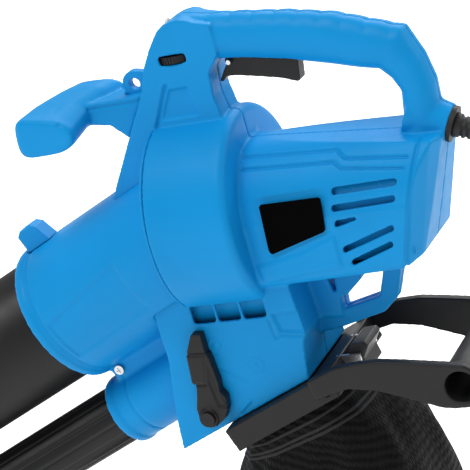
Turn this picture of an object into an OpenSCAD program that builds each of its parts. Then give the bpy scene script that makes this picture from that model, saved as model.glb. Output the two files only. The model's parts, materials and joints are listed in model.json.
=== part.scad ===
// Leaf vacuum mulcher: electric fan unit with twin tubes, mode lever and collecting bag.
// The machine is drawn in its own frame: X along the motor shaft to the rear, Y to the right,
// Z up, zero at the fan centre. place() then tips it into its working pose around the grip.

/* [Working pose] */
// Rise of the motor shaft towards the rear
pitch = 16; // [0:1:30]
// Distance of the grip centre behind the fan centre
grip_x = 138; // [130:1:146]
// Height of the grip centre above the motor shaft
grip_z = 134; // [128:1:138]

/* [Fan drum] */
// Outer radius of the fan drum
drum_r = 87; // [84:1:90]
// Front face of the drum
drum_front = -37; // [-40:1:-34]
// Rear face of the drum
drum_rear = 39; // [37:1:41]
// Rounding of the drum's rear edge
drum_round = 7; // [3:1:9]
// Wall thickness of the blue shells
wall = 3; // [2.4:0.2:3.4]

/* [Motor housing] */
// Half width of the motor housing
motor_w = 60; // [58:1:62]
// Radius of the arched top of the motor housing
motor_arch = 59; // [57:1:61]
// Depth of the motor housing below the shaft
motor_drop = 60; // [58:1:62]
// Slant of the rear face
rear_slant = 16.7; // [10:0.1:20]

/* [Handle] */
// Half width of the front post
post_w = 20; // [19:1:22]
// Half width of the grip
grip_w = 18; // [17:1:19]
// Half height of the grip
grip_h = 22; // [21:1:23]

/* [Tubes] */
// Fall of both tubes below the motor shaft
tube_angle = 23.5; // [22:0.5:25]
// Outer radius of the suction tube
suction_r = 59; // [58:0.5:60]
// Outer radius of the blow tube
blow_r = 28; // [27:0.5:29]
// Wall thickness of the tubes
tube_wall = 2.5; // [2:0.1:3]
// Distance between the two tube axes
tube_gap = 108; // [106:1:112]
// Clearance in the tube sockets
slip = 0.3; // [0.2:0.05:0.5]
// Distance from the fan centre to the joint between the tube halves
tube_joint = 560; // [500:10:620]
// Distance from the fan centre to the mouth of the suction tube
tube_end = 980; // [900:10:1000]
// Radius of the support wheels
wheel_r = 36; // [34:1:40]

/* [Outlet duct and bag] */
// Half width of the outlet duct
duct_w = 50; // [48:1:52]
// Slope of the bag flange above the motor shaft
flange_angle = 22.5; // [20:0.5:25]
// Thickness of the bag frame
frame_h = 23; // [20:1:25]
// Half width of the bag frame
frame_w = 62; // [60:1:63]
// Half width between the arms of the bag bracket
fork_w = 66; // [65:1:68]
// Thickness of the bag cloth
cloth = 3; // [2.5:0.5:5]

/* [Rotor] */
// Radius of the motor shaft
shaft_r = 6; // [5:0.5:7]
// Running clearance of the shaft in its bearings
running = 0.05; // [0.02:0.01:0.09]
// Radius of the mulching impeller
impeller_r = 76; // [70:1:78]
// Blades on the impeller
blades = 6; // [4:1:8]

/* [Cord] */
// Diameter of the mains lead
cord_d = 8; // [7:0.5:9]

/* [Hidden] */

blue = [0.12, 0.58, 0.86];
black = [0.13, 0.13, 0.14];
grey = [0.3, 0.3, 0.32];
steel = [0.7, 0.71, 0.73];
copper = [0.72, 0.43, 0.22];
brass = [0.8, 0.65, 0.3];
fine = 96;

funnel_r = 65;
funnel_end = 200;
collar_r = 32;
collar_end = 212;
socket_depth = 55;
tube_step = 40;
duct_split = -88;
flange_x = 20;
flange_z = -164.5;
lever_x = -42;
lever_z = -172;
lever_y = -51;
bearing_r = 16;
front_bearing_x = 47;
rear_bearing_x = 158;
stator_r = 45;
trigger_x = 44;
trigger_z = 127;
dial_x = -2;
dial_z = 142;
dial_r = 16.8;
mouth_depth = 120;
suction_mouth_r = suction_r - 1.7;
blow_mouth_depth = 60;
blow_mouth_r = blow_r - 1.7;
clip_at = 470;
clip_band = 4;
wheel_at = 900;
wheel_off = tube_gap + blow_r + 35;
gland_x = 217;
gland_z = 47;
gland_fall = 25;
latch_x = 92;
latch_z = -146;

// Rounded outline of the front post and the neck above the fan drum, in X and Z
post_outline = [[-98, 20], [-89, 37], [-65, 76], [-40, 116], [-31, 138], [-21, 154], [-10, 168],
    [-4, 172], [4, 174.5], [12, 175.5], [18, 174], [24, 171], [40, 167], [40, 140], [28, 126],
    [26, 105], [30, 80], [40, 60], [-40, -20]];
post_cavity = [[-78, 37], [-58, 73], [-36, 112], [-26, 136], [-12, 160], [0, 170], [12, 172],
    [22, 168], [22, 126], [20, 90], [10, 60]];

// Handle from the post over the grip to the motor housing:
// centre X and Z, angle of the upward side, half thickness and half width
handle_path = [[8, 156, 92, grip_h - 1, post_w - 1], [30, 153, 91, grip_h - 2, grip_w + 1],
    [60, 149.5, 85, grip_h - 2, grip_w], [100, 143, 80, grip_h - 1, grip_w],
    [138, 134, 75, grip_h, grip_w], [165, 125, 67, grip_h - 1, grip_w],
    [186.5, 118.5, 48, grip_h - 0.5, grip_w], [196, 101, 25, grip_h - 5, grip_w],
    [201, 84, 5, grip_h - 7, grip_w], [199, 62, -6, grip_h - 6, grip_w + 1],
    [192, 38, -10, grip_h - 4, grip_w + 2]];

// Outline of the outlet duct under the fan drum, in X and Z
duct_outline = [[-72, -60], [-72, -94], [-71, -118], [-80, -176], [-82, -206.7],
    [56, -149.6], [60, -116], [64, -108], [60, -55], [0, -40]];
duct_cavity = [[-66, -90], [-66, -118], [-75, -176], [-76, -200], [-30, -184], [52, -148],
    [55, -116], [50, -60], [0, -50]];

// Outlines of the open brace under the motor housing and of the hook in it
brace_outer = [[150, -40], [147, -76], [137, -101], [123, -112], [81, -122], [50, -127], [50, -108],
    [83, -106], [122, -97], [131, -74], [134, -40]];
hook_outline = [[62, -56], [78, -56], [83, -88], [86, -86], [86, -76], [91, -63], [92, -56], [114, -56],
    [114, -65], [111, -78], [95, -91], [88, -92], [86, -110], [62, -110]];

// Hanging bag: centre X and Z, tilt, half length and half width of each section
bag_path = [[-16.5, -338, 38, 57, 57], [-4, -366, 30, 80, 72], [6, -404, 20, 101, 88],
    [14, -452, 10, 115, 99], [20, -520, 3, 121, 105], [24, -600, 0, 119, 105],
    [26, -670, 0, 108, 96], [26, -722, 0, 84, 74], [26, -748, 0, 46, 40]];
bag_sides = 28;
bag_floor = -742;

// Route of the mains lead in the working pose
cord_route = [[146, 0, -69], [156, 0, -71], [167, 0, -73], [178, 0, -76], [189, 0, -81],
    [199, 0, -88], [208, 0, -97], [215, 0, -108], [220, 0, -120], [223, 0, -134], [225, 0, -150],
    [226, 0, -170], [226, 0, -190], [226, 0, -210], [226, 0, -230], [226, 0, -250],
    [226, 0, -270], [226, 0, -290], [226, 0, -310], [226, 0, -330], [226, 0, -348]];
cord_sides = 8;
plug_x = 226;
plug_z = -348;

function sgn_pow(v, p) = sign(v) * pow(abs(v), p);

// Section ring in the plane of X and Z at angle a, spread along Y
function section(x, z, a, h, w, n, p = 1) = [for (i = [0:n - 1])
    let (t = 360 * (i + 0.5) / n, u = h * sgn_pow(cos(t), p), v = w * sgn_pow(sin(t), p))
    [x + u * cos(a), v, z + u * sin(a)]];

// Round sections of radius r square to a route given as X, Y, Z points in one plane of Y
function swept(route, r, n) = [for (k = [0:len(route) - 1])
    let (a = route[max(k - 1, 0)], b = route[min(k + 1, len(route) - 1)],
        turn = atan2(b[0] - a[0], a[2] - b[2]))
    section(route[k][0], route[k][2], turn, r, r, n)];

module skin(rings) {
    n = len(rings[0]);
    last = len(rings) - 1;
    walls = [for (k = [0:last - 1], i = [0:n - 1])
        [k * n + i, k * n + (i + 1) % n, (k + 1) * n + (i + 1) % n, (k + 1) * n + i]];
    first_cap = [for (i = [0:n - 1]) n - 1 - i];
    last_cap = [for (i = [0:n - 1]) last * n + i];
    polyhedron([for (r = rings) each r], concat(walls, [first_cap], [last_cap]), convexity = 4);
}

module place() {
    rotate([0, -pitch, 0])
        translate([-grip_x, 0, -grip_z])
            children();
}

module along_shaft(x = 0) {
    translate([x, 0, 0])
        rotate([0, 90, 0])
            children();
}

// Local Z runs down the tube from the fan centre, and local -X is below the suction tube
module along_tube(off = 0, s = 0) {
    rotate([0, -(90 + tube_angle), 0])
        translate([-off, 0, s])
            children();
}

module side_plate(outline, half) {
    rotate([90, 0, 0])
        linear_extrude(2 * half, center = true)
            polygon(outline);
}

module on_flange() {
    translate([flange_x, 0, flange_z])
        rotate([0, -flange_angle, 0])
            children();
}

module slab(x0, x1, w, z0, z1) {
    translate([x0, -w, z0])
        cube([x1 - x0, 2 * w, z1 - z0]);
}

module ring(outer, inner, h) {
    difference() {
        cylinder(r = outer, h = h, $fn = fine);
        translate([0, 0, -1])
            cylinder(r = inner, h = h + 2, $fn = fine);
    }
}

// ---- Blue shells ----

module drum_solid(r, x0, x1, edge) {
    along_shaft()
        rotate_extrude($fn = fine)
            polygon(concat([[0, x0], [r, x0]],
                [for (a = [0:15:90]) [r - edge + edge * cos(a), x1 - edge + edge * sin(a)]],
                [[0, x1]]));
}

module motor_block(w, arch, drop, x0, x1) {
    round_r = 14;
    along_shaft(x0)
        cylinder(r = arch, h = x1 - x0, $fn = fine);
    slab(x0, x1, w, round_r - drop, 0);
    slab(x0, x1, w - round_r, -drop, 0);
    for (side = [-1, 1])
        translate([x0, side * (w - round_r), round_r - drop])
            along_shaft()
                cylinder(r = round_r, h = x1 - x0, $fn = fine);
}

module motor_solid() {
    intersection() {
        motor_block(motor_w, motor_arch, motor_drop, 30, 240);
        side_plate([[30, 61], [218, 45], [198, -12], [184, -50], [172, -54.5], [30, -61]], 80);
        translate([198, 0, 0])
            rotate([0, rear_slant, 0])
                linear_extrude(300, center = true)
                    polygon([[-200, -70], [-10, -70], [-10, -60], [0, -41], [6, -24], [6, 24], [0, 41],
                        [-10, 60], [-10, 70], [-200, 70]]);
    }
}

module motor_hollow() {
    intersection() {
        motor_block(motor_w - wall, motor_arch - wall, motor_drop - wall, 42, 240);
        side_plate([[42, 57], [208, 42], [193, -12], [178, -48], [42, -57]], 80);
        translate([193, 0, 0])
            rotate([0, rear_slant, 0])
                linear_extrude(300, center = true)
                    polygon([[-200, -70], [-11, -70], [-11, -57], [0, -38], [0, 38], [-11, 57],
                        [-11, 70], [-200, 70]]);
    }
}

module handle_skin(less) {
    skin([for (s = handle_path) section(s[0], s[1], s[2], s[3] - less, s[4] - less, 28, 0.85)]);
}

module duct_solid(z0, z1) {
    intersection() {
        side_plate(duct_outline, duct_w);
        slab(-90, 70, duct_w, z0, z1);
    }
}

module cord_boss() {
    translate([gland_x, 0, gland_z])
        rotate([0, 90 + gland_fall, 0])
            translate([0, 0, -34])
                cylinder(r1 = 21, r2 = 16.5, h = 36, $fn = 48);
}

module shell_solid() {
    drum_solid(drum_r, drum_front, drum_rear, drum_round);
    motor_solid();
    side_plate(post_outline, post_w);
    handle_skin(0);
    duct_solid(duct_split, 0);
    cord_boss();
}

module shell_hollow() {
    along_shaft(drum_front - 1)
        cylinder(r = drum_r - wall, h = drum_rear - wall - drum_front + 1, $fn = fine);
    motor_hollow();
    along_shaft(30)
        cylinder(r = 21, h = 20, $fn = fine);
    side_plate(post_cavity, post_w - wall);
    handle_skin(wall);
    side_plate(duct_cavity, duct_w - wall);
    translate([gland_x, 0, gland_z])
        rotate([0, 90 + gland_fall, 0])
            translate([0, 0, -40])
                cylinder(r = 9, h = 60, $fn = 48);
}

// Slanting vent from its front end to its rear end, in X and Z
module vent(x0, z0, x1, z1, h) {
    rotate([90, 0, 0])
        linear_extrude(200, center = true)
            polygon([[x0, z0], [x1, z1], [x1 - h * 0.3, z1 - h], [x0 - h * 0.3, z0 - h]]);
}

module vents() {
    vent(125, 22, 182, 23, 5.5);
    vent(122, 8, 178, 10, 5.5);
    rotate([90, 0, 0])
        linear_extrude(200, center = true)
            polygon([[122, -5], [154, -3], [120, -11]]);
    vent(123, -29, 172, -14, 5.5);
    vent(128, -41, 168, -28, 5.5);
}

module outlet_pockets() {
    for (side = [-1, 1], i = [0:2])
        translate([-36 + i * 24, side * (duct_w - 6) - 7, -87])
            cube([21, 14, 18]);
}

module shell_cuts() {
    vents();
    // Trigger opening under the grip
    slab(34, 106, 8, 112, 140);
    // Window of the speed dial
    translate([dial_x - 12.5, -post_w - 5, dial_z - 4])
        cube([25, 22, 8]);
    // Air way into the fan from the suction tube
    along_tube()
        cylinder(r = suction_r - tube_wall, h = 200, $fn = fine);
    // Side recess of the post
    for (side = [-1, 1])
        translate([0, side * (post_w + 8), 0])
            side_plate([[-13, 117], [5, 117], [8, 90], [-29, 90]], 10);
}

module half(side) {
    color(blue)
        difference() {
            intersection() {
                shell_solid();
                translate([-500, side > 0 ? 0 : -500, -500])
                    cube([1000, 500, 1000]);
            }
            shell_hollow();
            shell_cuts();
            outlet_pockets();
        }
}

module housing_left() {
    place()
        half(-1);
}

module housing_right() {
    place()
        half(1);
}

// Lower part of the duct between the fan, the blow tube and the bag
module outlet_duct() {
    place()
        color(blue)
            difference() {
                duct_solid(-300, duct_split);
                side_plate(duct_cavity, duct_w - wall);
                on_flange()
                    slab(-46, 35, 40, -20, 6);
                // Passage of the selector shaft
                translate([lever_x, 0, lever_z])
                    rotate([90, 0, 0])
                        cylinder(r = 6.05, h = 200, center = true, $fn = fine);
                // Air way out to the blow tube
                along_tube(tube_gap, 60)
                    cylinder(r = blow_r - tube_wall, h = 120, $fn = fine);
            }
}

// Open brace under the motor housing with a hook inside
module lower_brace() {
    place()
        color(blue)
            difference() {
                union() {
                    side_plate(brace_outer, 8);
                    side_plate(hook_outline, 12);
                }
                motor_solid();
                duct_solid(-300, 0);
            }
}

// Front cover of the fan with the sockets of both tubes
module intake_cover() {
    place()
        color(blue)
            difference() {
                union() {
                    along_shaft(drum_front - wall)
                        cylinder(r = drum_r, h = wall, $fn = fine);
                    intersection() {
                        along_tube(0, -40)
                            cylinder(r = funnel_r, h = funnel_end + 40, $fn = fine);
                        translate([-400, -200, -300])
                            cube([400 + drum_front, 400, 500]);
                    }
                    along_tube(0, funnel_end - 8)
                        cylinder(r = funnel_r + 2, h = 8, $fn = fine);
                    along_tube(tube_gap, 96)
                        cylinder(r = collar_r, h = collar_end - 96, $fn = fine);
                    along_tube(tube_gap, collar_end - 8)
                        cylinder(r = collar_r + 1.5, h = 8, $fn = fine);
                    // Web between the funnel and the lower collar
                    along_tube(0, 0)
                        translate([-(tube_gap - 26), -14, 120])
                            cube([24, 28, 74]);
                }
                along_tube(0, funnel_end - socket_depth)
                    cylinder(r = suction_r + slip, h = 100, $fn = fine);
                along_tube(0, -60)
                    cylinder(r = suction_r - tube_wall, h = 300, $fn = fine);
                along_tube(tube_gap, collar_end - socket_depth)
                    cylinder(r = blow_r + slip, h = 100, $fn = fine);
                along_tube(tube_gap, 60)
                    cylinder(r = blow_r - tube_wall, h = 300, $fn = fine);
                // Fan side of the cover is clear of the duct of the shells
                side_plate([[-72.5, -50], [-72.3, -94], [-71.3, -118], [-80.3, -176], [-82.3, -210],
                    [60, -210], [60, -88], [-36.9, -88], [-36.9, -50]], duct_w + 0.2);
                // Slot of the release latch
                along_tube()
                    translate([funnel_r - 9, -9.5, 160])
                        cube([20, 19, 32]);
                // Neck of the shells in front of the fan
                side_plate(post_outline, post_w + 0.2);
            }
}

// Front handle: a wing grip on a tapered arm
module front_handle() {
    place()
        color(blue)
            difference() {
                union() {
                    rotate([90, 0, 0])
                        intersection() {
                            linear_extrude(60, center = true)
                                polygon([[-118, 116], [-60, 114], [-30, 116], [-56, 74], [-64, 77],
                                    [-78, 92], [-95, 96], [-118, 96]]);
                            rotate([-90, 0, 0])
                                linear_extrude(200)
                                    polygon([[-118, 24], [-118, -24], [-40, -12], [-40, 12]]);
                        }
                    skin([for (s = [[-122, 101, -57, 24, 13, -5], [-123, 101, -55, 27.5, 16, -5],
                            [-123, 101, -48, 28, 17, -3], [-119, 105, -22, 27, 16.5, 3],
                            [-107, 110, 4, 26, 14.5, 5], [-97, 113, 22, 23, 12, 3],
                            [-95, 113, 27, 18, 8, 1]])
                        [for (i = [0:27])
                            let (t = 360 * i / 28, u = s[3] * sgn_pow(cos(t), 0.6),
                                v = s[4] * sgn_pow(sin(t), 0.6) * (1 - 0.35 * cos(t)))
                            [s[0] + u * cos(s[5]) - v * sin(s[5]), s[2],
                                s[1] + u * sin(s[5]) + v * cos(s[5])]]]);
                }
                side_plate(post_outline, post_w + 10);
            }
}

module strap_eyelet() {
    place()
        color(blue)
            difference() {
                translate([-50.5, 0, 122.5])
                    rotate([90, 0, 0])
                        linear_extrude(9, center = true)
                            difference() {
                                union() {
                                    circle(r = 11.5, $fn = fine);
                                    polygon([[-10.5, -4], [-13, -7.9], [14, -7.9], [20, 8], [0, 11.5]]);
                                }
                                circle(r = 5, $fn = fine);
                            }
                side_plate(post_outline, post_w);
            }
}

module name_plate() {
    place()
        color(black)
            translate([0, -motor_w - 0.75, 0])
                rotate([90, 0, 0])
                    linear_extrude(1.5, center = true)
                        polygon([[59, 16], [61, 18], [113, 18], [115, 16], [112, -11], [110, -13],
                            [60, -27], [58, -26], [57, -23]]);
}

// ---- Tubes ----

module plain_tube(r, s0, s1) {
    translate([0, 0, s0])
        ring(r, r - tube_wall, s1 - s0);
}

module suction_tube_upper() {
    place()
        color(black)
            along_tube() {
                plain_tube(suction_r, funnel_end - socket_depth + 1, tube_joint);
                translate([0, 0, tube_joint - socket_depth - 8])
                    ring(suction_r + 2.5, suction_r - 0.5, 6);
            }
}

module suction_tube_lower() {
    place()
        color(black)
            along_tube()
                difference() {
                    union() {
                        plain_tube(suction_r, tube_joint + slip, tube_end);
                        translate([0, 0, tube_joint - socket_depth])
                            ring(suction_r + slip + tube_wall, suction_r + slip, socket_depth + slip);
                        translate([0, 0, tube_joint])
                            ring(suction_r + slip + tube_wall, suction_r - tube_wall, 6);
                        translate([0, 0, tube_end - 40])
                            ring(suction_r + 2, suction_r - 1, 6);
                    }
                    translate([0, 0, tube_end - mouth_depth])
                        cylinder(r = suction_mouth_r, h = mouth_depth + 1, $fn = fine);
                    translate([0, 0, tube_end])
                        rotate([0, -30, 0])
                            translate([-200, -200, 0])
                                cube([400, 400, 200]);
                }
}

module blow_tube_upper() {
    place()
        color(black)
            along_tube(tube_gap) {
                plain_tube(blow_r, collar_end - socket_depth + 1, tube_joint);
                translate([0, 0, tube_joint - tube_step - 8])
                    ring(blow_r + 2, blow_r - 0.5, 6);
            }
}

module blow_tube_lower() {
    place()
        color(black)
            along_tube(tube_gap)
                difference() {
                    union() {
                        plain_tube(blow_r, tube_joint + slip, tube_end);
                        translate([0, 0, tube_joint - tube_step])
                            ring(blow_r + slip + tube_wall, blow_r + slip, tube_step + slip);
                        translate([0, 0, tube_joint])
                            ring(blow_r + slip + tube_wall, blow_r - tube_wall, 6);
                        translate([0, 0, tube_end - 6])
                            ring(blow_r + 2, blow_r - 1, 6);
                    }
                    translate([0, 0, tube_end - blow_mouth_depth])
                        cylinder(r = blow_mouth_r, h = blow_mouth_depth + 1, $fn = fine);
                }
}

// Clip that ties both tubes together: a band with a foot, and the ring on the blow tube
module tube_clip() {
    place()
        color(black)
            along_tube(0, clip_at)
                difference() {
                    union() {
                        cylinder(r = suction_r + slip + clip_band, h = 22, $fn = fine);
                        translate([-tube_gap + 10, -16, 0])
                            cube([60, 32, 22]);
                    }
                    translate([0, 0, -1])
                        cylinder(r = suction_r + slip, h = 30, $fn = fine);
                    translate([-tube_gap, 0, -1])
                        cylinder(r = blow_r + slip + clip_band, h = 30, $fn = fine);
                }
}

module blow_clip() {
    place()
        color(black)
            along_tube(tube_gap, clip_at)
                ring(blow_r + slip + clip_band, blow_r + slip, 22);
}

// Pan-head screw along local Z, head up
module screw(r = 2, l = 14, head = 4) {
    difference() {
        union() {
            cylinder(r = r, h = l, $fn = 24);
            translate([0, 0, l])
                cylinder(r = head, h = 2.5, $fn = 32);
        }
        for (a = [0, 90])
            rotate(a)
                translate([-head * 0.6, -0.5, l + 1.2])
                    cube([head * 1.2, 1, 4]);
    }
}

module tube_screws() {
    place()
        color(steel) {
            along_tube(69.5, 184)
                rotate([90, 0, 0])
                    translate([0, 0, 2])
                        screw(2, 12.6, 4.5);
            for (side = [0, 1])
                along_tube(tube_gap - blow_r - 12, clip_at + 11)
                    rotate([side ? 90 : -90, 0, 0])
                        translate([0, 0, 4])
                            screw(2, 12, 4);
        }
}

module wheel_bracket() {
    band = 4;
    place()
        color(black)
            along_tube(0, wheel_at)
                difference() {
                    union() {
                        cylinder(r = suction_r + slip + band, h = 24, $fn = fine);
                        translate([-tube_gap, 0, 0])
                            cylinder(r = blow_r + slip + band, h = 24, $fn = fine);
                        translate([-tube_gap + 10, -16, 0])
                            cube([60, 32, 24]);
                        translate([-wheel_off, -20, 0])
                            cube([wheel_off - tube_gap, 40, 24]);
                        translate([-wheel_off, -20, 12])
                            rotate([-90, 0, 0])
                                cylinder(r = 12, h = 40, $fn = 48);
                    }
                    translate([0, 0, -1])
                        cylinder(r = suction_r + slip, h = 30, $fn = fine);
                    translate([-tube_gap, 0, -1])
                        cylinder(r = blow_r + slip, h = 30, $fn = fine);
                    translate([-wheel_off, -30, 12])
                        rotate([-90, 0, 0])
                            cylinder(r = 4, h = 60, $fn = fine);
                }
}

module wheel_axle() {
    place()
        color(steel)
            along_tube(wheel_off, wheel_at + 12)
                rotate([90, 0, 0]) {
                    cylinder(r = 4, h = 86, center = true, $fn = fine);
                    for (side = [0, 1])
                        mirror([0, 0, side])
                            translate([0, 0, 43])
                                cylinder(r = 6, h = 1.5, $fn = 48);
                }
}

module wheel(side) {
    place()
        color(black)
            along_tube(wheel_off, wheel_at + 12)
                rotate([side * 90, 0, 0])
                    translate([0, 0, 21])
                        rotate_extrude($fn = fine)
                            polygon([[4 + running, 0], [10, 0], [11, 2], [wheel_r - 9, 2], [wheel_r - 8, 0],
                                [wheel_r - 2, 0], [wheel_r, 3], [wheel_r, 18], [wheel_r - 2, 21],
                                [wheel_r - 8, 21], [wheel_r - 9, 19], [11, 19], [10, 21.5],
                                [4 + running, 21.5]]);
}

module wheel_left() {
    wheel(1);
}

module wheel_right() {
    wheel(-1);
}

// ---- Tube release latch on top of the funnel ----

module tube_latch() {
    place()
        color(blue)
            along_tube() {
                rotate([90, 0, 0])
                    linear_extrude(18, center = true)
                        polygon([[funnel_r - 1, 163], [funnel_r + 16, 168], [funnel_r + 19, 172],
                            [funnel_r + 19, 186], [funnel_r + 16, 190], [funnel_r - 1, 190]]);
                for (i = [0:3])
                    translate([funnel_r + 18, -8, 172 + i * 4])
                        cube([2, 16, 1.6]);
            }
}

module latch_spring() {
    place()
        color(steel)
            along_tube()
                translate([suction_r + 0.6, -5, 154])
                    cube([1, 10, 32]);
}

// ---- Screws of the shells, on the right side ----

module housing_screws() {
    places = [[-15, 165, post_w], [15, 100, post_w], [60, 30, motor_w - 9], [150, 30, motor_w - 9],
        [100, -50, motor_w - 3], [170, -38, motor_w - 3], [40, -125, duct_w], [-55, -125, duct_w]];
    place()
        color(steel)
            for (p = places)
                translate([p[0], p[2] - 12, p[1]])
                    rotate([-90, 0, 0])
                        screw(2, 12, 3.8);
}

// ---- Motor ----

module motor_bracket() {
    place()
        color(black)
            difference() {
                union() {
                    along_shaft(42)
                        cylinder(r = 50, h = 4, $fn = fine);
                    along_shaft(36)
                        cylinder(r = 20.8, h = 18, $fn = fine);
                }
                along_shaft(20)
                    cylinder(r = shaft_r + 2, h = 60, $fn = fine);
                along_shaft(front_bearing_x - 5)
                    cylinder(r = bearing_r, h = 30, $fn = fine);
            }
}

module bearing(x) {
    place()
        color(steel)
            along_shaft(x - 5)
                difference() {
                    cylinder(r = bearing_r, h = 10, $fn = fine);
                    translate([0, 0, -1])
                        cylinder(r = shaft_r + running, h = 12, $fn = fine);
                    for (z = [-1, 9])
                        translate([0, 0, z])
                            ring(bearing_r - 3, shaft_r + 2.5, 2);
                }
}

module front_bearing() {
    bearing(front_bearing_x);
}

module rear_bearing() {
    bearing(rear_bearing_x);
}

module rear_bearing_bridge() {
    place()
        color(black)
            difference() {
                union() {
                    along_shaft(rear_bearing_x - 6)
                        cylinder(r = 21, h = 14, $fn = fine);
                    slab(rear_bearing_x - 2, rear_bearing_x + 4, 10, -48.5, 45.5);
                    slab(rear_bearing_x - 2, rear_bearing_x + 4, motor_w - wall, -18, 0);
                }
                along_shaft(rear_bearing_x - 10)
                    cylinder(r = shaft_r + 3, h = 30, $fn = fine);
                along_shaft(rear_bearing_x - 10)
                    cylinder(r = bearing_r, h = 15, $fn = fine);
            }
}

module stator() {
    place()
        color(grey)
            along_shaft(70)
                difference() {
                    cylinder(r = stator_r, h = 52, $fn = fine);
                    translate([0, 0, -1])
                        cylinder(r = 26, h = 60, $fn = fine);
                    for (side = [-1, 1])
                        translate([-14, side * 30 - 6, -1])
                            cube([28, 12, 60]);
                }
}

module field_coils() {
    place()
        color(copper)
            along_shaft(67)
                for (side = [-1, 1])
                    intersection() {
                        translate([-13, side * 30 - 5, 0])
                            cube([26, 10, 60]);
                        ring(38, 27, 60);
                    }
}

module brush_holders() {
    place()
        color(brass)
            for (side = [-1, 1])
                translate([136, side * 27 - 10, -6])
                    difference() {
                        cube([14, 20, 12]);
                        translate([3, -1, 2])
                            cube([8, 22, 8]);
                    }
}

module carbon_brushes() {
    place()
        color(grey)
            for (side = [-1, 1])
                translate([139, side * 25.3 - 9, -4])
                    cube([8, 18, 8]);
}

module rotor_shaft() {
    place()
        color(steel)
            along_shaft(-34)
                difference() {
                    cylinder(r = shaft_r, h = 204, $fn = fine);
                    translate([0, 0, -1])
                        ring(shaft_r + 2, shaft_r - 0.5, 6);
                }
}

module armature() {
    place()
        color(grey)
            along_shaft(72)
                difference() {
                    cylinder(r = 25, h = 48, $fn = fine);
                    translate([0, 0, -1])
                        cylinder(r = shaft_r, h = 60, $fn = fine);
                    for (i = [0:11])
                        rotate(i * 30)
                            translate([21, -1.5, -1])
                                cube([6, 3, 60]);
                }
}

module commutator() {
    place()
        color(copper)
            along_shaft(134)
                difference() {
                    cylinder(r = 16, h = 18, $fn = fine);
                    translate([0, 0, -1])
                        cylinder(r = shaft_r, h = 30, $fn = fine);
                    for (i = [0:23])
                        rotate(i * 15)
                            translate([15.2, -0.3, -1])
                                cube([2, 0.6, 30]);
                }
}

module fan_wheel(r, plate, h, n, hub, twist_x) {
    difference() {
        union() {
            cylinder(r = r, h = plate, $fn = fine);
            cylinder(r = hub, h = h, $fn = fine);
            for (i = [0:n - 1])
                rotate(i * 360 / n)
                    translate([twist_x, hub - 2, 0])
                        cube([2.5, r - hub, h]);
        }
        translate([0, 0, -1])
            cylinder(r = shaft_r, h = h + 10, $fn = fine);
    }
}

module cooling_fan() {
    place()
        color(black)
            along_shaft(57)
                fan_wheel(46, 2, 9, 10, 12, 4);
}

module impeller() {
    place()
        color(steel)
            along_shaft(22)
                rotate([180, 0, 0])
                    fan_wheel(impeller_r, 3, 44, blades, 15, 6);
}

module impeller_nut() {
    place()
        color(steel)
            along_shaft(-31)
                difference() {
                    cylinder(r = 10, h = 8.9, $fn = 6);
                    translate([0, 0, -1])
                        cylinder(r = shaft_r, h = 12, $fn = fine);
                }
}

// ---- Switchgear ----

module switch_body() {
    place()
        color(grey)
            translate([56, -8, 135.5])
                cube([40, 16, 20]);
}

module trigger() {
    place()
        color(black)
            difference() {
                union() {
                    side_plate([[30, 114], [36, 123], [44, 133], [60, 133], [60, 131], [104, 123],
                        [104, 121], [101.5, 104], [99, 103], [86, 108], [68, 112], [46, 116.5],
                        [37, 117], [33, 113]], 7);
                    translate([trigger_x, 0, trigger_z + 3])
                        rotate([90, 0, 0])
                            cylinder(r = 5, h = 14, center = true, $fn = 48);
                }
                translate([trigger_x, 0, trigger_z + 3])
                    rotate([90, 0, 0])
                        cylinder(r = 2 + running, h = 40, center = true, $fn = fine);
            }
}

module trigger_pin() {
    place()
        color(steel)
            translate([trigger_x, 0, trigger_z + 3])
                rotate([90, 0, 0])
                    cylinder(r = 2, h = 24, center = true, $fn = fine);
}

module speed_dial() {
    place()
        color(black)
            translate([dial_x, -5, dial_z - 3])
                difference() {
                    cylinder(r = dial_r, h = 6, $fn = fine);
                    translate([0, 0, -1])
                        cylinder(r = 2 + running, h = 10, $fn = fine);
                    for (i = [0:35])
                        rotate(i * 10)
                            translate([dial_r - 0.6, -0.5, -1])
                                cube([2, 1, 10]);
                }
}

module dial_board() {
    place()
        color([0.1, 0.35, 0.2])
            union() {
                translate([dial_x - 12, -12, dial_z - 12])
                    cube([24, 16, 1.6]);
                translate([dial_x, -5, dial_z - 11])
                    cylinder(r = 2, h = 16, $fn = fine);
                translate([dial_x - 6, -8, dial_z - 11])
                    cube([12, 8, 4]);
            }
}

module motor_lead() {
    route = [[48, 0, 152], [30, 0, 148], [14, 0, 138], [6, 0, 120], [2, 0, 104], [0, 0, 92]];
    place()
        color([0.1, 0.1, 0.12])
            translate([0, 8, 0])
                skin(swept(route, 2.4, 8));
}

// ---- Mode selector ----

module mode_lever() {
    place()
        color(black)
            translate([lever_x, lever_y, lever_z])
                difference() {
                    rotate([90, 0, 0])
                        union() {
                            linear_extrude(10)
                                polygon([[5, 80], [14, 79], [14, 63], [16, 56], [18, 33], [17, 24], [21, 18],
                                    [20, 7], [15, -2], [5, -9], [-3, -9], [-9, -4], [-10, 9],
                                    [-7, 18], [-4, 30], [-7, 35], [-5, 60], [-3, 65]]);
                            cylinder(r = 9, h = 12, $fn = fine);
                        }
                    rotate([90, 0, 0])
                        translate([0, 0, -1])
                            cylinder(r = 5, h = 9, $fn = fine);
                }
}

module lever_cap() {
    place()
        color(black)
            translate([lever_x, lever_y - 12, lever_z])
                rotate([90, 0, 0])
                    cylinder(r = 7, h = 3, $fn = fine);
}

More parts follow.
